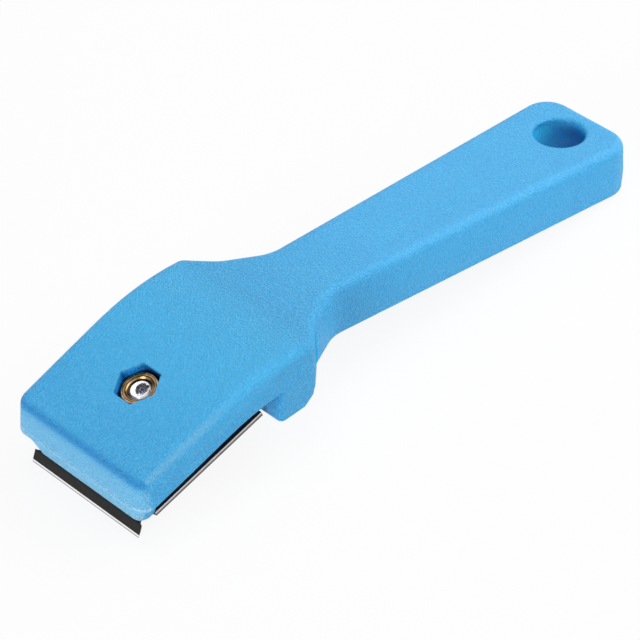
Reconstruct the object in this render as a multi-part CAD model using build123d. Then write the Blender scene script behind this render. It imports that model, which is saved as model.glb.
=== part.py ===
from build123d import *
import math
import os

os.makedirs("parts", exist_ok=True)

# Grip and head, in the grip's own frame: x to the hanging end, z up, crease of the head at x = 0
head_pitch = 22.1
seat_pitch = 19.8
grip_end_x = 135.1
grip_depth = 14.4
parting_depth = 8.75
flare_angle = 2.59
neck_run = 11.17
neck_half = 11.32
neck_angle = 28.1
neck_radius = 12.0
throat_radius = 12.0
shoulder_angle = 46.5
shoulder_x = 15.29
head_margin = 4.55
bow_step = 0.55
nose_step = 1.6
nose_x = 36.9
draft = 3.0
top_round = 2.7
under_round = 1.0
nose_corner = 2.8
shoulder_corner = 3.0
end_corner = 7.2
crease_radius = 66.0

# Guard and blade seat under the head
guard_x = 4.7
guard_length = 10.4
guard_depth = 19.1
guard_rise = 1.2
guard_bevel = 2.4
guard_round = 1.6
seat_depth = 15.4
seat_inset = 2.1
seat_root_inset = 1.3
seat_root_depth = 7.9
bar_inset = 0.1
bar_root_step = 2.4
bar_front_inset = 0.1
bar_root_lead = 0.45
bar_length = 6.4
bar_corner = 3.0

# Hanging hole
hang_x = 123.4
hang_radius = 6.7
hang_round = 1.1
hang_round_steps = 3

# Metric 6 hardware
thread_size = 6.0
nut_flats = 10.0
nut_height = 5.0
nut_sunk = 1.8
nut_pocket_gap = 0.3
nut_chamfer = 0.55
nut_land_inset = 0.25
nut_cone = 30.0
bolt_l = 20.6
bolt_clear = 0.3
bolt_length = 16.0
bolt_head_height = 4.0
bolt_tip_chamfer = 0.6
thread_gap = 0.04
washer_radius = 6.0
washer_bore = 3.3
washer_thick = 1.6

# Blade
blade_thick = 1.2
blade_half = 19.7
blade_rear_gap = 1.9
blade_bend_l = 43.4
lip_angle = 51.3
lip_length = 3.45
bevel_length = 1.2
blade_hole_gap = 0.25
notch_radius = 2.2

# Reach of cutting blocks, past the whole tool, and the gap within which points are one
beyond = 400.0
point_gap = 0.02
facing_share = 0.5


# Directions of the clamp under the head's pitched face: forward along the blade, and up the bolt
pitch = math.radians(head_pitch)
seat_turn = math.radians(seat_pitch)
forward = Vector(-math.cos(seat_turn), 0, -math.sin(seat_turn))
outward = Vector(-math.sin(seat_turn), 0, math.cos(seat_turn))
withdraw = outward * -1
mouth = Vector(-math.cos(pitch), 0, -math.sin(pitch)) * bolt_l


def head_xz(along, depth):
    # Point on the middle plane, along the blade from the crease, depth down the bolt from the head's face
    return mouth + forward * (along - bolt_l) + withdraw * depth


def along_at(x, depth):
    # How far along the blade a point at a depth has this x
    return bolt_l + (mouth.X + withdraw.X * depth - x) / math.cos(seat_turn)


# Half widths of the head, and of what is under it, from the blade's
shoulder_half = blade_half + head_margin
head_half_bow = shoulder_half - bow_step
head_half_nose = shoulder_half - nose_step
seat_half = blade_half - seat_inset
seat_half_root = blade_half - seat_root_inset
bar_half = blade_half - bar_inset
bar_half_root = blade_half + bar_root_step
bar_front = blade_bend_l - bar_front_inset
bar_front_root = blade_bend_l + bar_root_lead
bar_rear = bar_front - bar_length


def xz(point):
    return (point.X, point.Z)


# Plan of the moulding at the level of the grip's top, its walls standing out by grow
shoulder_turn = math.radians(shoulder_angle)
neck_turn = math.radians(neck_angle)
flare_turn = math.radians(flare_angle)
throat_half = neck_half + neck_run * math.tan(neck_turn)
throat_x = shoulder_x + (shoulder_half - throat_half) / math.tan(shoulder_turn)
neck_x = throat_x + neck_run

# Circle of the head's gently bowed side, through its nose, middle and rear
bow_mid_x = (shoulder_x - nose_x) / 2
rise_nose = (head_half_bow**2 - head_half_nose**2 + bow_mid_x**2 - nose_x**2) / 2
rise_rear = (shoulder_half**2 - head_half_bow**2 + shoulder_x**2 - bow_mid_x**2) / 2
step_nose = head_half_bow - head_half_nose
step_rear = shoulder_half - head_half_bow
run_nose = bow_mid_x + nose_x
run_rear = shoulder_x - bow_mid_x
bow_det = run_nose * step_rear - run_rear * step_nose
bow_x = (rise_nose * step_rear - rise_rear * step_nose) / bow_det
bow_y = (run_nose * rise_rear - run_rear * rise_nose) / bow_det
bow_radius = math.hypot(shoulder_x - bow_x, shoulder_half - bow_y)


def outer_corner(x, half, angle_front, angle_back, grow):
    # Corner of the plan moved out with both of its walls, angles measured down from the middle line
    normal_front = Vector(math.sin(angle_front), math.cos(angle_front))
    normal_back = Vector(math.sin(angle_back), math.cos(angle_back))
    step = (normal_front + normal_back) * (grow / (1 + normal_front.dot(normal_back)))
    return (x + step.X, half + step.Y)


def bow_point(at_x, grow):
    return (at_x, bow_y + math.sqrt((bow_radius + grow) ** 2 - (at_x - bow_x) ** 2))


def shoulder_point(throat, grow):
    # Where the straight shoulder meets the bowed side
    back_x = throat[0] - bow_x
    back_y = throat[1] - bow_y
    half_b = back_y * math.sin(shoulder_turn) - back_x * math.cos(shoulder_turn)
    rest = back_x**2 + back_y**2 - (bow_radius + grow) ** 2
    run = math.sqrt(half_b**2 - rest) - half_b
    return (throat[0] - run * math.cos(shoulder_turn), throat[1] + run * math.sin(shoulder_turn))


def plan(grow):
    front = -nose_x - grow
    back = grip_end_x + grow
    nose = bow_point(front, grow)
    throat = outer_corner(throat_x, throat_half, shoulder_turn, neck_turn, grow)
    neck = outer_corner(neck_x, neck_half, neck_turn, -flare_turn, grow)
    shoulder = shoulder_point(throat, grow)
    middle = bow_point((front + shoulder[0]) / 2, grow)
    end = (back, neck[1] + (back - neck[0]) * math.tan(flare_turn))
    with BuildLine() as half:
        Line((front, 0), nose)
        ThreePointArc(nose, middle, shoulder)
        Polyline(shoulder, throat, neck, end, (back, 0))
        mirror(about=Plane.XZ)
    with BuildSketch() as sketch:
        make_face(half.line.edges())
        corners = [
            (nose, nose_corner + grow),
            (shoulder, shoulder_corner + grow),
            (throat, throat_radius - grow),
            (neck, neck_radius - grow),
            (end, end_corner + grow),
        ]
        for corner, radius in corners:
            points = sketch.vertices().filter_by(
                lambda v, at=corner: math.hypot(v.X - at[0], abs(v.Y) - at[1]) < point_gap
            )
            fillet(points, radius)
    return sketch.sketch


def side_slab(points):
    # Prism across the whole width from a closed side view
    with BuildSketch(Plane.XZ) as side:
        with BuildLine():
            Polyline(*points, close=True)
        make_face()
    return extrude(side.sketch, amount=beyond, both=True)


slope = math.tan(pitch)
far_x = -2 * nose_x
far_drop = far_x * slope
tail_x = grip_end_x + nose_x
tan_draft = math.tan(math.radians(draft))

# Upper half: plan drawn down with draft, under the creased top and over the parting surface
upper_plan = loft([plan(0), Pos(0, 0, -nose_x) * plan(nose_x * tan_draft)], ruled=True)
with BuildSketch(Plane.XZ) as skin_side:
    with BuildLine():
        Polyline(
            (far_x, far_drop),
            (0, 0),
            (tail_x, 0),
            (tail_x, -parting_depth),
            (0, -parting_depth),
            (far_x, far_drop - parting_depth),
            close=True,
        )
    make_face()
    fillet(skin_side.vertices().filter_by(lambda v: abs(v.X) < point_gap), crease_radius)
skin = extrude(skin_side.sketch, amount=beyond, both=True)
upper = upper_plan & skin


def rim_edges(solid, up):
    # Edges round the faces that look up or down, without those between two such faces
    faces = [f for f in solid.faces() if f.normal_at(f.center()).Z * up > facing_share]
    edges = [e for f in faces for e in f.edges()]
    return [e for e in edges if sum(1 for other in edges if e.is_same(other)) == 1]


upper = upper.fillet(top_round, rim_edges(upper, 1))

# Lower half: the grip and the deeper guard, drawn the other way from the parting surface
def lower_slab(depth, front, rear):
    # Drafted plan from the parting surface to a depth, between two cross planes
    low_grow = (2 * parting_depth - depth) * tan_draft
    block = loft(
        [
            Pos(0, 0, -parting_depth) * plan(parting_depth * tan_draft),
            Pos(0, 0, -depth) * plan(low_grow),
        ],
        ruled=True,
    )
    lean = (depth - parting_depth) * tan_draft
    return block & side_slab([(front, 0), (rear + lean, 0), (rear, -depth), (rear, -beyond), (front, -beyond)])


# The grip's lower half starts inside the guard, which has a rising floor and a bevelled rear
guard_end_x = guard_x + guard_length
guard_low = guard_rise - guard_depth
grip_low = lower_slab(grip_depth, (guard_x + guard_end_x) / 2, tail_x)
grip_low = grip_low.fillet(under_round, rim_edges(grip_low, -1))
guard = lower_slab(guard_depth + under_round, guard_x, tail_x) & side_slab(
    [
        (guard_x, 0),
        (guard_x, -guard_depth),
        (guard_end_x - guard_bevel, guard_low),
        (guard_end_x, guard_low + guard_bevel),
        (guard_end_x + guard_depth * tan_draft, 0),
    ]
)
guard_corners = [
    e for e in guard.edges().filter_by(lambda e: abs(e.center().X - guard_x) < under_round)
    if abs(e.center().Y) > neck_half and abs(e.tangent_at(0).Z) > facing_share
]
guard = guard.fillet(guard_round, guard_corners)
guard = guard.fillet(under_round, rim_edges(guard, -1))
lower = grip_low + guard
print("guard corners", len(guard_corners), "lower", lower.is_valid, len(lower.solids()))

# Blade seat: a block under the head with a wider bar behind the nose
rear_l = along_at(guard_x, seat_depth) - under_round


def head_rect(front, rear, half, corner, depth):
    # Rectangle parallel to the head's face, at a depth into the head
    plane = Plane(origin=head_xz((front + rear) / 2, depth), x_dir=forward, z_dir=outward)
    if corner > 0:
        return plane * RectangleRounded(front - rear, 2 * half, corner)
    return plane * Rectangle(front - rear, 2 * half)


seat_front = (bar_front + bar_rear) / 2
seat = loft(
    [
        head_rect(seat_front, rear_l, seat_half, 0, seat_depth),
        head_rect(seat_front, rear_l, seat_half_root, 0, seat_root_depth),
    ],
    ruled=True,
)
bar = loft(
    [
        head_rect(bar_front, bar_rear, bar_half, bar_corner, seat_depth),
        head_rect(bar_front_root, bar_rear, bar_half_root, bar_corner, seat_root_depth),
    ],
    ruled=True,
)
handle = upper + lower + seat + bar


def bolt_plane(depth):
    # Plane across the bolt, its normal out of the head, a flat of a hexagon facing forward
    return Plane(origin=head_xz(bolt_l, depth), x_dir=forward, z_dir=outward)


def hexagon(flats, depth, height):
    # Hexagonal prism standing out of the head from a depth
    sketch = bolt_plane(depth) * RegularPolygon(flats / 2, 6, major_radius=False, rotation=30)
    return extrude(sketch, amount=height)


def round_bar(radius, depth, height):
    return extrude(bolt_plane(depth) * Circle(radius), amount=height)


# Nut pocket, bolt hole and hanging hole
pocket_depth = nut_sunk + nut_height
handle = handle - hexagon(nut_flats + 2 * nut_pocket_gap, pocket_depth, 2 * pocket_depth)
handle = handle - round_bar(thread_size / 2 + bolt_clear, 2 * seat_depth, 2 * seat_depth)
hang_turns = [math.radians(90 * step / hang_round_steps) for step in range(hang_round_steps + 1)]
upper_rim = [
    (hang_radius + hang_round * (1 - math.cos(turn)), hang_round * (math.sin(turn) - 1)) for turn in hang_turns
]
lower_rim = [(radius, -grip_depth - height) for radius, height in reversed(upper_rim)]
hang_wide = hang_radius + hang_round
with BuildSketch(Plane.XZ) as hang_side:
    with BuildLine():
        Polyline(
            (0, -2 * grip_depth),
            (hang_wide, -2 * grip_depth),
            *lower_rim,
            *upper_rim,
            (hang_wide, grip_depth),
            (0, grip_depth),
            close=True,
        )
    make_face()
handle = handle - Pos(hang_x, 0, 0) * revolve(hang_side.sketch, axis=Axis.Z)
print("handle", handle.volume, handle.is_valid, len(handle.solids()), handle.bounding_box())

# Blade: one plate with its front edge bent down into a ground lip, relief notches at the bend
lip = math.radians(lip_angle)
lip_along = math.cos(lip)
lip_down = math.sin(lip)
blade_rear = along_at(guard_x - blade_rear_gap, seat_depth + blade_thick)


def lip_point(run, under):
    # Run along the lip's outer face, under measured through the plate
    return xz(
        head_xz(
            blade_bend_l + run * lip_along - under * lip_down,
            seat_depth + run * lip_down + under * lip_along,
        )
    )


inner_bend = blade_bend_l - blade_thick * math.tan(lip / 2)
blade_side = side_slab(
    [
        xz(head_xz(blade_rear, seat_depth)),
        xz(head_xz(blade_bend_l, seat_depth)),
        lip_point(lip_length, 0),
        lip_point(lip_length - bevel_length, blade_thick),
        xz(head_xz(inner_bend, seat_depth + blade_thick)),
        xz(head_xz(blade_rear, seat_depth + blade_thick)),
    ]
)
blade_room = Box(beyond, 2 * blade_half, beyond)
blade = blade_side & blade_room
blade = blade - round_bar(thread_size / 2 + bolt_clear + blade_hole_gap, 2 * seat_depth, 2 * seat_depth)
for side in (-1, 1):
    notch_plane = Plane(
        origin=head_xz(blade_bend_l - notch_radius, 2 * seat_depth) + Vector(0, side * blade_half, 0),
        x_dir=forward,
        z_dir=outward,
    )
    blade = blade - extrude(notch_plane * Circle(notch_radius), amount=2 * seat_depth)
print("blade", blade.volume, blade.is_valid, len(blade.solids()), blade.bounding_box())

# Washer, bolt and nut on the bolt's axis
nut_corner = nut_flats / math.sqrt(3)
nut_land = nut_flats / 2 - nut_land_inset
nut_slope = (nut_corner - nut_land) * math.tan(math.radians(nut_cone))


def turned(profile):
    # Solid of revolution about the bolt's axis from pairs of radius and depth
    plane = Plane(origin=head_xz(bolt_l, 0), x_dir=forward, z_dir=forward.cross(withdraw))
    with BuildSketch(plane) as section:
        with BuildLine():
            Polyline(*profile, close=True)
        make_face()
    return revolve(section.sketch, axis=Axis(head_xz(bolt_l, 0), withdraw))


nut_top = nut_sunk
nut_bottom = nut_sunk + nut_height
nut_bore = thread_size / 2 + thread_gap
nut_blank = turned(
    [
        (nut_bore + nut_chamfer, nut_top),
        (nut_land, nut_top),
        (nut_corner, nut_top + nut_slope),
        (nut_corner, nut_bottom - nut_slope),
        (nut_land, nut_bottom),
        (nut_bore + nut_chamfer, nut_bottom),
        (nut_bore, nut_bottom - nut_chamfer),
        (nut_bore, nut_top + nut_chamfer),
    ]
)
clamp_nut = nut_blank & hexagon(nut_flats, nut_bottom, nut_height)

washer_top = seat_depth + blade_thick
head_top = washer_top + washer_thick
head_low = head_top + bolt_head_height
bolt_end = head_top - bolt_length
flat_washer = turned(
    [
        (washer_bore, washer_top),
        (washer_radius, washer_top),
        (washer_radius, head_top),
        (washer_bore, head_top),
    ]
)
head_blank = turned(
    [
        (0, head_top),
        (nut_corner, head_top),
        (nut_corner, head_low - nut_slope),
        (nut_land, head_low),
        (0, head_low),
    ]
)
shank = turned(
    [
        (0, bolt_end),
        (thread_size / 2 - bolt_tip_chamfer, bolt_end),
        (thread_size / 2, bolt_end + bolt_tip_chamfer),
        (thread_size / 2, head_top + under_round),
        (0, head_top + under_round),
    ]
)
clamp_bolt = (head_blank & hexagon(nut_flats, head_low, bolt_head_height)) + shank

# Resting on the floor: on the blade's edge and on the underside's rounded rear edge
tip = head_xz(blade_bend_l + lip_length * lip_along, seat_depth + lip_length * lip_down)
heel_x = grip_end_x + (2 * parting_depth - grip_depth) * tan_draft - under_round
heel_z = under_round - grip_depth
reach_x = heel_x - tip.X
reach_z = tip.Z - heel_z
rest_turn = math.asin(-under_round / math.hypot(reach_x, reach_z)) - math.atan2(reach_z, reach_x)
rest_degrees = math.degrees(rest_turn)

pieces = {
    "handle": handle,
    "blade": blade,
    "flat_washer": flat_washer,
    "clamp_bolt": clamp_bolt,
    "clamp_nut": clamp_nut,
}
turned_pieces = {name: Rot(0, rest_degrees, 0) * piece for name, piece in pieces.items()}
whole = Compound(children=[Compound(piece.solids()) for piece in turned_pieces.values()]).bounding_box()
shift = Vector(
    -(whole.min.X + whole.max.X) / 2,
    -(whole.min.Y + whole.max.Y) / 2,
    -whole.min.Z,
)


def placed(point):
    # A point of the grip's frame in the resting frame
    cos_turn = math.cos(rest_turn)
    sin_turn = math.sin(rest_turn)
    return Vector(
        point.X * cos_turn + point.Z * sin_turn + shift.X,
        point.Y + shift.Y,
        point.Z * cos_turn - point.X * sin_turn + shift.Z,
    )


for name, piece in turned_pieces.items():
    solid = Pos(shift.X, shift.Y, shift.Z) * piece
    export_step(solid, f"parts/{name}.step")
    print(name, round(solid.volume, 1), solid.is_valid, len(solid.solids()), solid.bounding_box())

print("size", whole.size, "rest", rest_degrees, "shift", shift)
print("bolt point", placed(head_xz(bolt_l, head_top)), "withdraw", placed(withdraw) - placed(Vector(0, 0, 0)))
print("seat_half", seat_half, "shoulder_half", shoulder_half, "blade rear", head_xz(blade_rear, seat_depth))
print("nut point", placed(head_xz(bolt_l, nut_top)))
print("hole mouth", placed(Vector(hang_x, 0, -hang_round)), "end", placed(Vector(hang_x, 0, hang_round - grip_depth)))
print("up", placed(Vector(0, 0, 1)) - placed(Vector(0, 0, 0)))
print("underside", placed(Vector(hang_x / 2, 0, -grip_depth)))
print("bolt head low", placed(head_xz(bolt_l, head_low)), "tip", placed(tip))
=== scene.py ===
import math

import bmesh
import bpy
from mathutils import Matrix, Vector


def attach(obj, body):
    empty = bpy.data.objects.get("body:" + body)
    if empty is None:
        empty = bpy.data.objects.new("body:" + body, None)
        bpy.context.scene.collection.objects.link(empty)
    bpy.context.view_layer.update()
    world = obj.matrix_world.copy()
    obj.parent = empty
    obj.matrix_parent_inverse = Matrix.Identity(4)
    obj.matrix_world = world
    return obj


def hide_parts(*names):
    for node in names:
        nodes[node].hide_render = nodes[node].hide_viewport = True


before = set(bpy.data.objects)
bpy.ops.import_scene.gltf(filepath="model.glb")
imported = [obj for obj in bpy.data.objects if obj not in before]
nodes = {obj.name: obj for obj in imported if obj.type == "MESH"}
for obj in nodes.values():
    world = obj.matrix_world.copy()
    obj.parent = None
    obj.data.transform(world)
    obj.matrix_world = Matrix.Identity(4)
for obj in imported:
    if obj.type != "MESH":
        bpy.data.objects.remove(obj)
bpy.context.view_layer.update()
scene = bpy.context.scene
print("frame loaded", sorted(nodes))

# Directions in the resting frame: the grip, the head's face and the clamp are each turned about Y
restTurn = math.radians(6.2918)
headTurn = math.radians(22.1) - restTurn
seatTurn = math.radians(19.8) - restTurn
origin = Vector((0, 0, 0))
across = Vector((0, 1, 0))
gripUp = Vector((math.sin(restTurn), 0, math.cos(restTurn)))
gripBack = Vector((math.cos(restTurn), 0, -math.sin(restTurn)))
headUp = Vector((-math.sin(headTurn), 0, math.cos(headTurn)))
forward = Vector((-math.cos(seatTurn), 0, -math.sin(seatTurn)))
outward = Vector((-math.sin(seatTurn), 0, math.cos(seatTurn)))

# The bolt's axis and how deep things sit on it, measured from the head's face
clamp = {
    "headTop": 0.0182,
    "headTopPlace": Vector((-0.0623422, 0, 0.0057308)),
    "plateTop": 0.0154,
    "boltEnd": 0.0022,
    "nutTop": 0.0018,
}


def onAxis(depth):
    return clamp["headTopPlace"] + outward * (clamp["headTop"] - depth)


# The plate's bend and the directions down and out of its lip
plate = {"bendAhead": 0.0228, "lipAngle": math.radians(51.3)}
plateTop = onAxis(clamp["plateTop"])
bendPlace = plateTop + forward * plate["bendAhead"]
lipDown = forward * math.cos(plate["lipAngle"]) - outward * math.sin(plate["lipAngle"])
lipOut = forward * math.sin(plate["lipAngle"]) + outward * math.cos(plate["lipAngle"])


def linear(red, green, blue):
    # Display colour of 0 to 255 as the shader's linear colour
    shares = [value / 255 for value in (red, green, blue)]
    mixed = [s / 12.92 if s < 0.04045 else ((s + 0.055) / 1.055) ** 2.4 for s in shares]
    return (*mixed, 1)


class Finish:
    # A node material built step by step on object coordinates
    def __init__(self, name):
        self.material = bpy.data.materials.new(name)
        self.material.use_nodes = True
        self.tree = self.material.node_tree
        self.shader = self.tree.nodes["Principled BSDF"]
        self.coords = self.tree.nodes.new("ShaderNodeTexCoord").outputs["Object"]

    def feed(self, node, socket, value):
        # Link or set an input, found by its name or its index
        if isinstance(value, bpy.types.NodeSocket):
            self.tree.links.new(value, node.inputs[socket])
        elif value is not None:
            node.inputs[socket].default_value = value

    def add(self, kind, **inputs):
        node = self.tree.nodes.new(kind)
        for name, value in inputs.items():
            self.feed(node, name.replace("_", " "), value)
        return node

    def stretched(self, scale, turn=(0, 0, 0)):
        node = self.add("ShaderNodeMapping", Vector=self.coords, Rotation=turn, Scale=scale)
        return node.outputs["Vector"]

    def noise(self, scale, vector=None, detail=2, roughness=0.5, distortion=0):
        node = self.add(
            "ShaderNodeTexNoise",
            Vector=vector or self.coords,
            Scale=scale,
            Detail=detail,
            Roughness=roughness,
            Distortion=distortion,
        )
        return node.outputs["Fac"]

    def vector(self, operation, first, second=None):
        node = self.tree.nodes.new("ShaderNodeVectorMath")
        node.operation = operation
        self.feed(node, 0, first)
        self.feed(node, 1, second)
        return node.outputs["Value" if operation in ("DOT_PRODUCT", "LENGTH") else "Vector"]

    def maths(self, operation, first, second):
        node = self.tree.nodes.new("ShaderNodeMath")
        node.operation = operation
        self.feed(node, 0, first)
        self.feed(node, 1, second)
        return node.outputs[0]

    def along(self, place, direction):
        # Distance of a point past a place in a direction
        moved = self.vector("SUBTRACT", self.coords, place)
        return self.vector("DOT_PRODUCT", moved, direction)

    def fromAxis(self, place, direction):
        # Distance of a point from an axis
        moved = self.vector("SUBTRACT", self.coords, place)
        return self.vector("LENGTH", self.vector("CROSS_PRODUCT", moved, direction))

    def span(self, value, limits, low=0, high=1):
        # Share of the way from one limit to the other
        start, end = limits
        node = self.add(
            "ShaderNodeMapRange",
            Value=value,
            From_Min=start,
            From_Max=end,
            To_Min=low,
            To_Max=high,
        )
        return node.outputs["Result"]

    def ramp(self, share, stops):
        node = self.add("ShaderNodeValToRGB", Fac=share)
        marks = node.color_ramp.elements
        while len(marks) < len(stops):
            marks.new(0.5)
        for mark, (place, colour) in zip(marks, stops):
            mark.position = place
            mark.color = colour if isinstance(colour, tuple) else (colour, colour, colour, 1)
        return node.outputs["Color"]

    def blend(self, share, first, second, mode="MIX"):
        # The node repeats its sockets for each kind of value, so the colours go by index
        node = self.tree.nodes.new("ShaderNodeMix")
        node.data_type = "RGBA"
        node.blend_type = mode
        for index, value in ((0, share), (6, first), (7, second)):
            self.feed(node, index, value)
        return node.outputs[2]

    def relief(self, height, depth, strength=1, under=None):
        node = self.add(
            "ShaderNodeBump", Height=height, Distance=depth, Strength=strength, Normal=under
        )
        return node.outputs["Normal"]

    def rounded(self, radius):
        # Normals eased over the sharp edges
        return self.add("ShaderNodeBevel", Radius=radius).outputs["Normal"]

    def set(self, **inputs):
        for name, value in inputs.items():
            self.feed(self.shader, name.replace("_", " "), value)
        return self.material


# A whole share, and the shares between which most of a noise lies
whole = (0, 1)
usual = (0.3, 0.7)

# Mould grain like leather, strong on the head and fainter towards the hanging hole
plastic = {
    "dark": linear(42, 166, 231),
    "light": linear(68, 188, 244),
    "darkBelow": 0.2,
    "lightAbove": 0.85,
    "grain": {"scale": 2300, "detail": 1, "roughness": 0.4, "distortion": 0.4},
    "grainStops": [(0.3, 0.0), (0.7, 1.0)],
    "grainDepth": 0.00027,
    "gripStart": (-0.035, 0.005),
    "gripGrain": 0.5,
    "fineScale": 3400,
    "fineDepth": 0.00004,
    "fineStrength": 0.25,
    "broadScale": 55,
    "broadShare": 0.28,
    "easing": 0.00025,
    "rough": (0.44, 0.34),
    "glancing": (0.6, 0.88),
    "gloss": 0.5,
    "index": 1.5,
}

# Painted light: the middle of the head's top made brighter, by depth under its face and length
# along the grip
headPaintedLight = {
    "place": Vector((-0.07894, 0, 0.01993)),
    "depth": (0.004, 0.006),
    "length": (-0.09, 0.02),
    "stops": [(0.1, 0.0), (0.3, 0.5), (0.5, 0.5), (0.72, 0.0)],
    "tint": linear(66, 194, 252),
}

# Painted highlight: a paler band along the head's near rounded edge
edgePaintedHighlight = {
    "depth": (0, 0.002),
    "side": (-0.017, -0.015),
    "rear": (-0.066, -0.056),
    "stops": [(0.05, 0.0), (0.2, 0.7), (0.45, 0.7), (0.9, 0.0)],
    "tint": linear(104, 182, 226),
}

# Painted light and shade on the nose, by height: its face paler as if lit, a darker painted band
# of shade along its upper edge and a painted highlight on the ledge
nosePaintedLight = {
    "front": (-0.0838, -0.0846),
    "heights": (0.0, 0.0186),
    "grain": 0.12,
    "stops": [
        (0.17, linear(156, 212, 245)),
        (0.36, linear(132, 204, 242)),
        (0.53, linear(122, 200, 242)),
        (0.55, linear(166, 218, 247)),
        (0.561, linear(166, 218, 247)),
        (0.572, linear(108, 191, 236)),
        (0.78, linear(103, 187, 233)),
        (0.84, linear(78, 180, 231)),
        (0.89, linear(26, 150, 214)),
        (0.93, linear(0, 136, 210)),
        (0.955, linear(16, 150, 218)),
        (0.985, linear(53, 173, 233)),
    ],
}

# Painted shade and light on the walls of the nut pocket and of the hanging hole: darker on the
# shaded side, paler on the lit side
pocketPaintedShade = {
    "place": onAxis(0),
    "axis": outward,
    "towards": across - gripBack * 0.5,
    "radius": (0.0063, 0.0066),
    "depth": (-0.0003, -0.0009),
    "sides": (-0.0015, 0.0035),
    "dark": linear(4, 52, 104),
    "pale": linear(16, 158, 255),
}
holePaintedShade = {
    "place": Vector((0.0757636, 0, 0.0144221)),
    "axis": gripUp,
    "towards": across - gripBack * 0.6,
    "radius": (0.0069, 0.0072),
    "depth": (-0.0002, -0.0012),
    "sides": (-0.003, 0.005),
    "dark": linear(40, 140, 208),
    "pale": linear(66, 212, 255),
}


def paintedWallShade(made, colour, tone):
    inside = made.span(made.fromAxis(tone["place"], tone["axis"]), tone["radius"], 1, 0)
    sunk = made.span(made.along(tone["place"], tone["axis"]), tone["depth"])
    sideways = made.span(made.along(tone["place"], tone["towards"]), tone["sides"])
    walls = made.blend(sideways, tone["dark"], tone["pale"])
    return made.blend(made.maths("MULTIPLY", inside, sunk), colour, walls)


def mouldedPlastic():
    made = Finish("grainedPlastic")
    worms = made.ramp(made.noise(**plastic["grain"]), plastic["grainStops"])
    fine = made.noise(plastic["fineScale"])
    broad = made.noise(plastic["broadScale"])
    shade = made.blend(plastic["broadShare"], worms, broad)
    tones = [
        (plastic["darkBelow"], plastic["dark"]),
        (plastic["lightAbove"], plastic["light"]),
    ]
    colour = made.ramp(shade, tones)
    grip = made.along(origin, gripBack)
    length = made.along(origin, Vector((1, 0, 0)))
    height = made.along(origin, Vector((0, 0, 1)))
    below = made.along(headPaintedLight["place"], -headUp)

    # Painted light brightening the middle of the head's top
    onFace = made.span(below, headPaintedLight["depth"], 1, 0)
    middle = made.ramp(made.span(grip, headPaintedLight["length"]), headPaintedLight["stops"])
    colour = made.blend(made.maths("MULTIPLY", onFace, middle), colour, headPaintedLight["tint"])

    # Painted highlight along the head's near rounded edge
    rounding = made.ramp(made.span(below, edgePaintedHighlight["depth"]), edgePaintedHighlight["stops"])
    nearSide = made.span(made.along(origin, across), edgePaintedHighlight["side"], 1, 0)
    onHead = made.span(length, edgePaintedHighlight["rear"], 1, 0)
    band = made.maths("MULTIPLY", made.maths("MULTIPLY", rounding, nearSide), onHead)
    colour = made.blend(band, colour, edgePaintedHighlight["tint"])

    # Painted light and shade on the nose face, its upper edge and its ledge
    shaded = made.ramp(made.span(height, nosePaintedLight["heights"]), nosePaintedLight["stops"])
    grain = made.span(worms, whole, nosePaintedLight["grain"], 0)
    shaded = made.blend(grain, shaded, plastic["dark"])
    colour = made.blend(made.span(length, nosePaintedLight["front"]), colour, shaded)

    # Painted shade and light on the walls of the nut pocket and the hanging hole
    colour = paintedWallShade(made, colour, pocketPaintedShade)
    colour = paintedWallShade(made, colour, holePaintedShade)

    strength = made.span(grip, plastic["gripStart"], 1, plastic["gripGrain"])
    normal = made.rounded(plastic["easing"])
    normal = made.relief(worms, plastic["grainDepth"], strength, normal)
    normal = made.relief(fine, plastic["fineDepth"], plastic["fineStrength"], normal)
    # Grain scatters the reflection that a smooth face would give at a glancing angle
    facing = made.add("ShaderNodeLayerWeight").outputs["Facing"]
    return made.set(
        Base_Color=colour,
        Roughness=made.span(worms, whole, *plastic["rough"]),
        Normal=normal,
        IOR=plastic["index"],
        Specular_IOR_Level=made.span(facing, plastic["glancing"], plastic["gloss"], 0),
    )


# Oxide-black plate, drawn across, with a painted shadow along the bend under the nose
black = {
    "stretch": (300, 60, 300),
    "drawn": {"scale": 12, "detail": 4, "roughness": 0.6},
    "drawnTones": [(0.35, linear(16, 17, 19)), (0.65, linear(52, 49, 47))],
    "drawnShare": 0.3,
    "drawnDepth": 0.00003,
    "drawnStrength": 0.35,
    "cloud": {"scale": 260, "detail": 3, "roughness": 0.6},
    "cloudRange": (0.2, 0.8),
    "cloudTones": [
        (0.3, linear(22, 22, 24)),
        (0.52, linear(31, 30, 30)),
        (0.72, linear(44, 36, 32)),
    ],
    "bendFall": (0.0002, 0.0009),
    "bendShare": 0.75,
    "bendPaintedShadow": linear(8, 22, 32),
    "rough": (0.42, 0.62),
    "index": 1.25,
}


def blackSteel():
    made = Finish("blackenedSteel")
    drawn = made.noise(vector=made.stretched(black["stretch"]), **black["drawn"])
    cloud = made.noise(**black["cloud"])
    streaks = made.ramp(drawn, black["drawnTones"])
    colour = made.blend(black["drawnShare"], made.ramp(cloud, black["cloudTones"]), streaks)
    # Painted shadow along the bend, under the nose
    bendShadowShare = made.span(made.along(bendPlace, lipDown), black["bendFall"], black["bendShare"], 0)
    return made.set(
        Base_Color=made.blend(bendShadowShare, colour, black["bendPaintedShadow"]),
        Roughness=made.span(cloud, black["cloudRange"], *black["rough"]),
        Normal=made.relief(drawn, black["drawnDepth"], black["drawnStrength"]),
        IOR=black["index"],
    )


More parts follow.
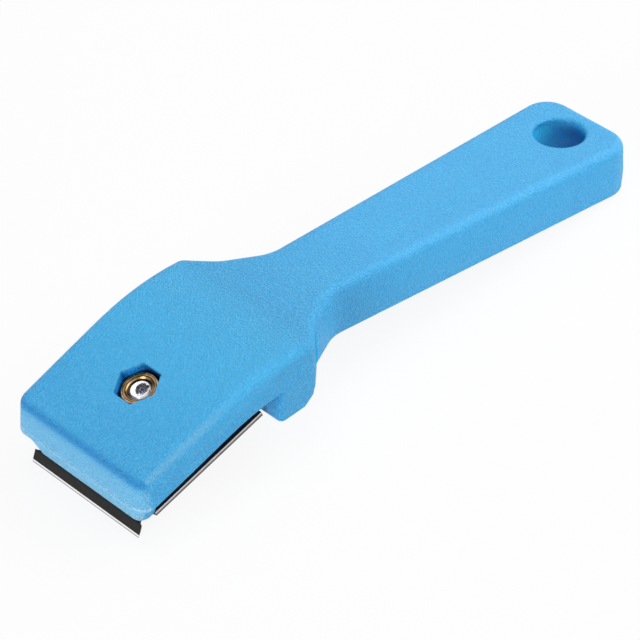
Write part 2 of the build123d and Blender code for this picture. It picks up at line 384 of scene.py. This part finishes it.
# Cut side of the plate: a bright rolled band at the top, a torn grey one under it
sheared = {
    "thick": 0.0012,
    "bands": [
        (0.0, linear(236, 232, 230)),
        (0.3, linear(206, 198, 196)),
        (0.52, linear(172, 166, 165)),
        (0.6, linear(96, 94, 95)),
        (0.8, linear(120, 118, 119)),
        (1.0, linear(60, 60, 62)),
    ],
    "stretch": (900, 900, 260),
    "torn": {"scale": 1, "detail": 3, "roughness": 0.7},
    "streaks": [(0.3, linear(110, 106, 106)), (0.7, linear(255, 250, 246))],
    "streakShare": 0.35,
    "depth": 0.00004,
    "strength": 0.5,
    "metal": 0.85,
    "roughFrom": (0.4, 0.7),
    "rough": (0.32, 0.55),
}


def shearedSteel():
    made = Finish("shearedSteel")
    down = made.span(made.along(plateTop, -outward), (0, sheared["thick"]))
    lengthwise = made.stretched(sheared["stretch"], (0, -seatTurn, 0))
    torn = made.noise(vector=lengthwise, **sheared["torn"])
    streaks = made.ramp(torn, sheared["streaks"])
    colour = made.ramp(down, sheared["bands"])
    return made.set(
        Base_Color=made.blend(sheared["streakShare"], colour, streaks, "MULTIPLY"),
        Metallic=sheared["metal"],
        Roughness=made.span(down, sheared["roughFrom"], *sheared["rough"]),
        Normal=made.relief(torn, sheared["depth"], sheared["strength"]),
    )


# Bright strip honed along the cutting edge
honed = {
    "stretch": (9000, 260, 9000),
    "fine": {"scale": 1, "detail": 2, "roughness": 0.6},
    "streaks": [(0.3, linear(226, 227, 228)), (0.7, linear(252, 252, 252))],
    "depth": 0.00001,
    "strength": 0.3,
    "rough": (0.2, 0.32),
}


def honedSteel():
    made = Finish("honedSteel")
    streaks = made.noise(vector=made.stretched(honed["stretch"]), **honed["fine"])
    return made.set(
        Base_Color=made.ramp(streaks, honed["streaks"]),
        Metallic=1.0,
        Roughness=made.span(streaks, usual, *honed["rough"]),
        Normal=made.relief(streaks, honed["depth"], honed["strength"]),
    )


# Plain metals: two clouded tones over a fine grain
plated = {
    "cloud": {"scale": 420, "detail": 4, "roughness": 0.6},
    "fineScale": 2600,
    "depth": 0.00002,
    "strength": 0.3,
}
landMetal = {
    "tones": [(0.3, linear(64, 62, 62)), (0.7, linear(116, 114, 114))],
    "rough": (0.4, 0.55),
}
zincMetal = {
    "tones": [(0.3, linear(186, 188, 192)), (0.7, linear(232, 233, 235))],
    "rough": (0.2, 0.36),
}


def platedMetal(name, metal):
    made = Finish(name)
    cloud = made.noise(**plated["cloud"])
    fine = made.noise(plated["fineScale"])
    return made.set(
        Base_Color=made.ramp(cloud, metal["tones"]),
        Metallic=1.0,
        Roughness=made.span(fine, usual, *metal["rough"]),
        Normal=made.relief(fine, plated["depth"], plated["strength"]),
    )


# Iridescent yellow plating; on the nut's top, rings round the bolt that are partly turning marks
# and partly painted highlight and shade, with painted shadow over the outer chamfer
gold = {
    "cloud": {"scale": 520, "detail": 4, "roughness": 0.6},
    "tones": [
        (0.28, linear(112, 92, 60)),
        (0.45, linear(152, 128, 92)),
        (0.6, linear(186, 160, 126)),
        (0.76, linear(226, 202, 188)),
    ],
    "ringRadius": (0.0028, 0.0058),
    "rings": [
        (0.1, (0.01, 0.01, 0.01, 1)),
        (0.15, (0.8, 0.72, 0.55, 1)),
        (0.2, (0.8, 0.72, 0.58, 1)),
        (0.24, (0.08, 0.06, 0.04, 1)),
        (0.31, (0.08, 0.06, 0.04, 1)),
        (0.35, (0.85, 0.76, 0.66, 1)),
        (0.41, (0.8, 0.7, 0.6, 1)),
        (0.45, (0.1, 0.08, 0.05, 1)),
        (0.48, (0.1, 0.08, 0.05, 1)),
        (0.52, (1.0, 0.96, 0.94, 1)),
        (0.59, (1.0, 0.96, 0.94, 1)),
        (0.63, (0.05, 0.04, 0.03, 1)),
    ],
    "ringDepth": (-0.0012, -0.0008),
    "ringShare": 0.95,
    "grainScale": 1800,
    "depth": 0.00003,
    "strength": 0.5,
    "rough": (0.16, 0.3),
}


def yellowZinc():
    made = Finish("yellowZinc")
    cloud = made.noise(**gold["cloud"])
    radius = made.fromAxis(onAxis(0), outward)
    # Turning rings mixed with painted highlights and painted shadow on the nut's top
    rings = made.ramp(made.span(radius, gold["ringRadius"]), gold["rings"])
    under = made.along(onAxis(clamp["nutTop"]), outward)
    onTop = made.span(under, gold["ringDepth"], 0, gold["ringShare"])
    grain = made.noise(gold["grainScale"])
    return made.set(
        Base_Color=made.blend(onTop, made.ramp(cloud, gold["tones"]), rings, "MULTIPLY"),
        Metallic=1.0,
        Roughness=made.span(cloud, usual, *gold["rough"]),
        Normal=made.relief(grain, gold["depth"], gold["strength"]),
    )


# Bolt's end: bright turned rim round a rough sheared patch, a little off centre
cropped = {
    "place": onAxis(0) + gripBack * 0.00035 - across * 0.00025,
    "blot": {"scale": 1300, "detail": 3, "roughness": 0.65, "distortion": 1.2},
    "ragged": (-0.0004, 0.0004),
    "patch": (0.00175, 0.0016),
    "rim": linear(238, 238, 240),
    "tones": [
        (0.36, linear(16, 16, 20)),
        (0.52, linear(74, 74, 84)),
        (0.7, linear(170, 170, 182)),
    ],
    "depth": 0.00012,
    "strength": 0.7,
    "metal": 0.95,
    "rough": (0.22, 0.55),
}


def croppedEnd():
    made = Finish("croppedSteel")
    blot = made.noise(**cropped["blot"])
    wobble = made.span(blot, usual, *cropped["ragged"])
    radius = made.maths("ADD", made.fromAxis(cropped["place"], outward), wobble)
    patch = made.span(radius, cropped["patch"])
    return made.set(
        Base_Color=made.blend(patch, cropped["rim"], made.ramp(blot, cropped["tones"])),
        Metallic=cropped["metal"],
        Roughness=made.span(patch, whole, *cropped["rough"]),
        Normal=made.relief(blot, cropped["depth"], cropped["strength"]),
    )


plasticLook = mouldedPlastic()
blackLook = blackSteel()
sideLook = shearedSteel()
honedLook = honedSteel()
landLook = platedMetal("edgeLand", landMetal)
zincLook = platedMetal("zincPlate", zincMetal)
goldLook = yellowZinc()
roughLook = croppedEnd()
print("finishes made")

merging = {"piece": 1e-7, "copy": 2e-6}
smoothBelow = math.radians(35)
flatBelow = math.radians(1)


def finished(name, made, looks):
    # Object from a bmesh, faces outward, smooth below an angle
    bmesh.ops.remove_doubles(made, verts=made.verts, dist=merging["piece"])
    bmesh.ops.recalc_face_normals(made, faces=made.faces)
    for face in made.faces:
        face.smooth = True
    for edge in made.edges:
        if len(edge.link_faces) != 2 or edge.calc_face_angle(0) > smoothBelow:
            edge.smooth = False
    mesh = bpy.data.meshes.new(name)
    made.to_mesh(mesh)
    made.free()
    for look in looks:
        mesh.materials.append(look)
    thing = bpy.data.objects.new(name, mesh)
    scene.collection.objects.link(thing)
    return thing


def copyOf(node):
    # Merged copy of a CAD node, with its flat faces whole again
    made = bmesh.new()
    made.from_mesh(nodes[node].data)
    bmesh.ops.remove_doubles(made, verts=made.verts, dist=merging["copy"])
    bmesh.ops.recalc_face_normals(made, faces=made.faces)
    bmesh.ops.dissolve_limit(made, angle_limit=flatBelow, verts=made.verts, edges=made.edges)
    return made


def eased(made, width, angle, segments=2, edges=None):
    # Small rounds on the sharp edges
    limit = math.radians(angle)
    chosen = edges or made.edges
    sharp = [e for e in chosen if len(e.link_faces) == 2 and e.calc_face_angle(0) > limit]
    bmesh.ops.bevel(
        made,
        geom=sharp,
        offset=width,
        offset_type="OFFSET",
        segments=segments,
        profile=0.5,
        affect="EDGES",
        clamp_overlap=True,
        material=-1,
    )


def sliced(made, place, normal, clear=False):
    # Cut along a plane, and clear what lies past it where asked
    bmesh.ops.bisect_plane(
        made,
        geom=made.verts[:] + made.edges[:] + made.faces[:],
        plane_co=place,
        plane_no=normal,
        clear_outer=clear,
        dist=merging["piece"],
    )


def outline(made, profile):
    # Closed ring of edges in a plane through the bolt's axis, from pairs of radius and depth
    points = [made.verts.new(onAxis(depth) + across * radius) for radius, depth in profile]
    return points + [made.edges.new(pair) for pair in zip(points, points[1:] + points[:1])]


def lathed(made, profile, steps=48):
    # Closed turned shape about the bolt's axis
    bmesh.ops.spin(
        made,
        geom=outline(made, profile),
        cent=onAxis(0),
        axis=outward,
        angle=math.tau,
        steps=steps,
        use_merge=True,
    )


thread = {"pitch": 0.001, "steps": 24, "foot": 0.44, "crestFlat": 0.07}


def threaded(made, root, crest, start, turns):
    # Closed thread ridge about the bolt's axis, right handed, from a depth downwards
    half = thread["pitch"] * thread["foot"]
    flat = thread["pitch"] * thread["crestFlat"]
    profile = [
        (root, start - half),
        (crest, start - flat),
        (crest, start + flat),
        (root, start + half),
    ]
    bmesh.ops.spin(
        made,
        geom=outline(made, profile),
        cent=onAxis(0),
        axis=-outward,
        dvec=outward * (-thread["pitch"] / thread["steps"]),
        angle=-math.tau * turns,
        steps=thread["steps"] * turns,
    )
    ends = [e for e in made.edges if len(e.link_faces) == 1]
    bmesh.ops.holes_fill(made, edges=ends, sides=4)


# Handle: the moulding keeps its own mesh
nodes["handle"].data.materials.clear()
nodes["handle"].data.materials.append(plasticLook)

# Blade: oblique lip ends, a honed strip over a dark line on the lip's face, a land on its edge
blade = {
    "slot": "blade_steel",
    "halfWidth": 0.0197,
    "lipLength": 0.00345,
    "lipTop": 0.0032,
    "lipThick": 0.0014,
    "endCut": 0.8,
    "honed": 0.0007,
    "line": 0.00024,
    "land": 0.00006,
    "ease": 0.00008,
    "sharp": 40,
    "sideStart": -0.0021,
    "onEdge": 1e-5,
    "longEdge": 0.001,
    "facing": 0.9,
    "level": 0.2,
}
bladeLooks = [blackLook, sideLook, honedLook, landLook]
asBlack, asSide, asHoned, asLand = range(len(bladeLooks))
lipEdge = bendPlace + lipDown * blade["lipLength"]


def pastEdge(place):
    return (place - lipEdge).dot(lipDown)


bladeMesh = copyOf("blade")
for vert in bladeMesh.verts:
    behind = (lipEdge - vert.co).dot(lipOut)
    reach = blade["halfWidth"] - blade["endCut"] * behind
    if behind < blade["lipThick"] and vert.co.z < blade["lipTop"] and abs(vert.co.y) > reach:
        vert.co.y = math.copysign(reach, vert.co.y)
for height in (blade["honed"], blade["line"]):
    sliced(bladeMesh, lipEdge - lipDown * height, lipDown)
edge = [
    e
    for e in bladeMesh.edges
    if all(abs(pastEdge(v.co)) < blade["onEdge"] for v in e.verts)
    and abs((e.verts[0].co - e.verts[1].co).y) > blade["longEdge"]
]
print("cutting edge", len(edge))
eased(bladeMesh, blade["land"], blade["sharp"], 1, edge)
for face in bladeMesh.faces:
    onLand = pastEdge(face.calc_center_median()) > -blade["land"]
    isLevel = abs(face.normal.y) < blade["level"]
    face.material_index = asLand if onLand and isLevel else asBlack
rest = [e for e in bladeMesh.edges if all(f.material_index != asLand for f in e.link_faces)]
eased(bladeMesh, blade["ease"], blade["sharp"], 2, rest)
for face in bladeMesh.faces:
    if face.material_index == asLand:
        continue
    middle = face.calc_center_median()
    pastStrip = pastEdge(middle) + blade["honed"]
    isLevel = abs(face.normal.y) < blade["level"]
    if abs(face.normal.y) > blade["facing"]:
        onPlate = (middle - bendPlace).dot(forward) < blade["sideStart"]
        face.material_index = asSide if onPlate else asBlack
    elif pastStrip > 0 and face.normal.dot(lipOut) > blade["facing"]:
        onStrip = pastStrip < blade["honed"] - blade["line"]
        face.material_index = asHoned if onStrip else asLand
    elif pastStrip > 0 and isLevel and (middle - lipEdge).dot(lipOut) < 0:
        face.material_index = asHoned
bladePiece = finished("bladePiece", bladeMesh, bladeLooks)
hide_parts("blade")
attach(bladePiece, "blade")

# Washer with its stamped edges
washer = {"ease": 0.00012, "sharp": 50}
washerMesh = copyOf("flat_washer")
eased(washerMesh, washer["ease"], washer["sharp"])
washerPiece = finished("washerPiece", washerMesh, [zincLook])
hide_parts("flat_washer")
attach(washerPiece, "washer")

# Bolt: hexagon head from the CAD, turned core with a chamfered end, rolled thread
bolt = {
    "slot": "zinc_steel",
    "headCut": 0.0002,
    "core": 0.00246,
    "root": 0.00242,
    "crest": 0.00296,
    "lead": 0.00294,
    "endFace": 0.0024,
    "dish": 0.00012,
    "dishFlat": 0.00114,
    "dishRise": 0.000048,
    "rough": 0.0019,
    "roughRim": 0.002,
    "chamfer": 0.00052,
    "leadEnd": 0.0007,
    "coreStart": 0.001,
    "threadStart": 0.0012,
    "turns": 14,
    "sunk": 0.0005,
    "endDepth": 0.0003,
}
end = clamp["boltEnd"]
boltMesh = copyOf("clamp_bolt")
sliced(boltMesh, onAxis(clamp["headTop"] - bolt["headCut"]), outward, clear=True)
opened = [e for e in boltMesh.edges if len(e.link_faces) == 1]
bmesh.ops.holes_fill(boltMesh, edges=opened, sides=0)
lathed(
    boltMesh,
    [
        (0, end + bolt["dish"]),
        (bolt["dishFlat"], end + bolt["dish"]),
        (bolt["rough"], end + bolt["dishRise"]),
        (bolt["roughRim"], end),
        (bolt["endFace"], end),
        (bolt["lead"], end + bolt["chamfer"]),
        (bolt["lead"], end + bolt["leadEnd"]),
        (bolt["core"], end + bolt["coreStart"]),
        (bolt["core"], clamp["headTop"] + bolt["sunk"]),
        (0, clamp["headTop"] + bolt["sunk"]),
    ],
)
threaded(boltMesh, bolt["root"], bolt["crest"], end + bolt["threadStart"], bolt["turns"])
for face in boltMesh.faces:
    moved = face.calc_center_median() - onAxis(end)
    if moved.cross(outward).length < bolt["endFace"] and moved.dot(outward) > -bolt["endDepth"]:
        face.material_index = 1
boltPiece = finished("boltPiece", boltMesh, [zincLook, roughLook])
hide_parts("clamp_bolt")
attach(boltPiece, "bolt")

# Nut: hexagon from the CAD, turning rings on its top, thread in its bore
nut = {
    "slot": "yellow_zinc",
    "rings": [0.00372, 0.004, 0.00418, 0.00442, 0.0046],
    "ringHeight": 0.00006,
    "ringLow": 0.15,
    "ringEnds": (0.00366, 0.00468),
    "ringFoot": 0.0001,
    "root": 0.00308,
    "crest": 0.00266,
    "threadStart": 0.0007,
    "turns": 4,
    "steps": 64,
}
nutMesh = copyOf("clamp_nut")
top = clamp["nutTop"]
ringProfile = [(radius, top + nut["ringFoot"]) for radius in nut["ringEnds"]]
for index, radius in enumerate(nut["rings"]):
    depth = top - nut["ringHeight"] * (1 if index % 2 else nut["ringLow"])
    ringProfile.insert(-1, (radius, depth))
lathed(nutMesh, ringProfile, nut["steps"])
threaded(nutMesh, nut["root"], nut["crest"], top + nut["threadStart"], nut["turns"])
nutPiece = finished("nutPiece", nutMesh, [goldLook])
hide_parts("clamp_nut")
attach(nutPiece, "nut")
print("pieces made")


def seenRays(wires):
    # The camera's rays and those of reflections, to which floor and backdrop are white
    path = wires.nodes.new("ShaderNodeLightPath")
    last = path.outputs["Is Camera Ray"]
    for name in ("Is Glossy Ray", "Is Transmission Ray"):
        larger = wires.nodes.new("ShaderNodeMath")
        larger.operation = "MAXIMUM"
        wires.links.new(last, larger.inputs[0])
        wires.links.new(path.outputs[name], larger.inputs[1])
        last = larger.outputs[0]
    return last


# Pale floor that keeps a soft shadow near the tool and goes over into the backdrop further out
ground = {
    "size": 3,
    "height": -0.0001,
    "colour": (0.95, 0.95, 0.95, 1),
    "rough": 0.9,
    "glowFade": (0.2, 0.7),
    "nearGlow": 0.9,
}
paleFloor = Finish("paleFloor")
wires = paleFloor.tree
paleFloor.set(Base_Color=ground["colour"], Roughness=ground["rough"], Specular_IOR_Level=0)
away = paleFloor.vector("LENGTH", paleFloor.coords)
pure = paleFloor.span(away, ground["glowFade"], ground["nearGlow"], 1)
both = paleFloor.add("ShaderNodeMixShader", Fac=paleFloor.maths("MULTIPLY", seenRays(wires), pure))
paleFloor.feed(both, 1, paleFloor.shader.outputs[0])
paleFloor.feed(both, 2, paleFloor.add("ShaderNodeEmission", Strength=1).outputs[0])
wires.links.new(both.outputs[0], wires.nodes["Material Output"].inputs["Surface"])
floorMesh = bmesh.new()
bmesh.ops.create_grid(floorMesh, x_segments=1, y_segments=1, size=ground["size"])
floor = finished("floor", floorMesh, [paleFloor.material])
floor.location.z = ground["height"]

# Backdrop: dim and a little cool as a light, white where it is seen
studio = [((0.97, 0.985, 1, 1), 0.12), ((1, 1, 1, 1), 1)]
world = bpy.data.worlds.new("studio")
scene.world = world
world.use_nodes = True
wires = world.node_tree
wires.nodes.clear()
mixed = wires.nodes.new("ShaderNodeMixShader")
wires.links.new(seenRays(wires), mixed.inputs["Fac"])
for index, (colour, strength) in enumerate(studio, 1):
    shade = wires.nodes.new("ShaderNodeBackground")
    shade.inputs["Color"].default_value = colour
    shade.inputs["Strength"].default_value = strength
    wires.links.new(shade.outputs[0], mixed.inputs[index])
out = wires.nodes.new("ShaderNodeOutputWorld")
wires.links.new(mixed.outputs[0], out.inputs["Surface"])

# Area lamps aimed at the tool: place, size, watts
lamps = {
    "topLamp": ((0.25, 0.2, 1.6), 0.9, 7.6),
    "rightLamp": ((1.3, -0.2, 0.9), 0.9, 8.6),
    "backLamp": ((0.9, 0.9, 1.1), 0.9, 2.4),
    "lowLamp": ((-1.5, -0.3, 0.25), 0.7, 18.5),
    "nearLamp": ((0.9, -1.0, 0.9), 0.9, 10),
}
for name, (place, size, watts) in lamps.items():
    light = bpy.data.lights.new(name, "AREA")
    light.shape = "SQUARE"
    light.size = size
    light.energy = watts
    thing = bpy.data.objects.new(name, light)
    scene.collection.objects.link(thing)
    thing.location = place
    thing.rotation_euler = (Vector(place) * -1).to_track_quat("-Z", "Y").to_euler()

# Camera as fitted to the photograph
view = {
    "sensor": 36,
    "lens": 189.083,
    "clip": 0.05,
    "rows": (
        (0.729244, 0.485793, -0.48188, -0.409054),
        (-0.67951, 0.431357, -0.593462, -0.492074),
        (-0.080437, 0.760221, 0.644666, 0.541052),
        (0, 0, 0, 1),
    ),
}
lens = bpy.data.cameras.new("camera")
lens.sensor_width = view["sensor"]
lens.lens = view["lens"]
lens.clip_start = view["clip"]
camera = bpy.data.objects.new("camera", lens)
scene.collection.objects.link(camera)
camera.matrix_world = Matrix(view["rows"])
scene.camera = camera
scene.view_settings.view_transform = "Standard"
print("stage set")
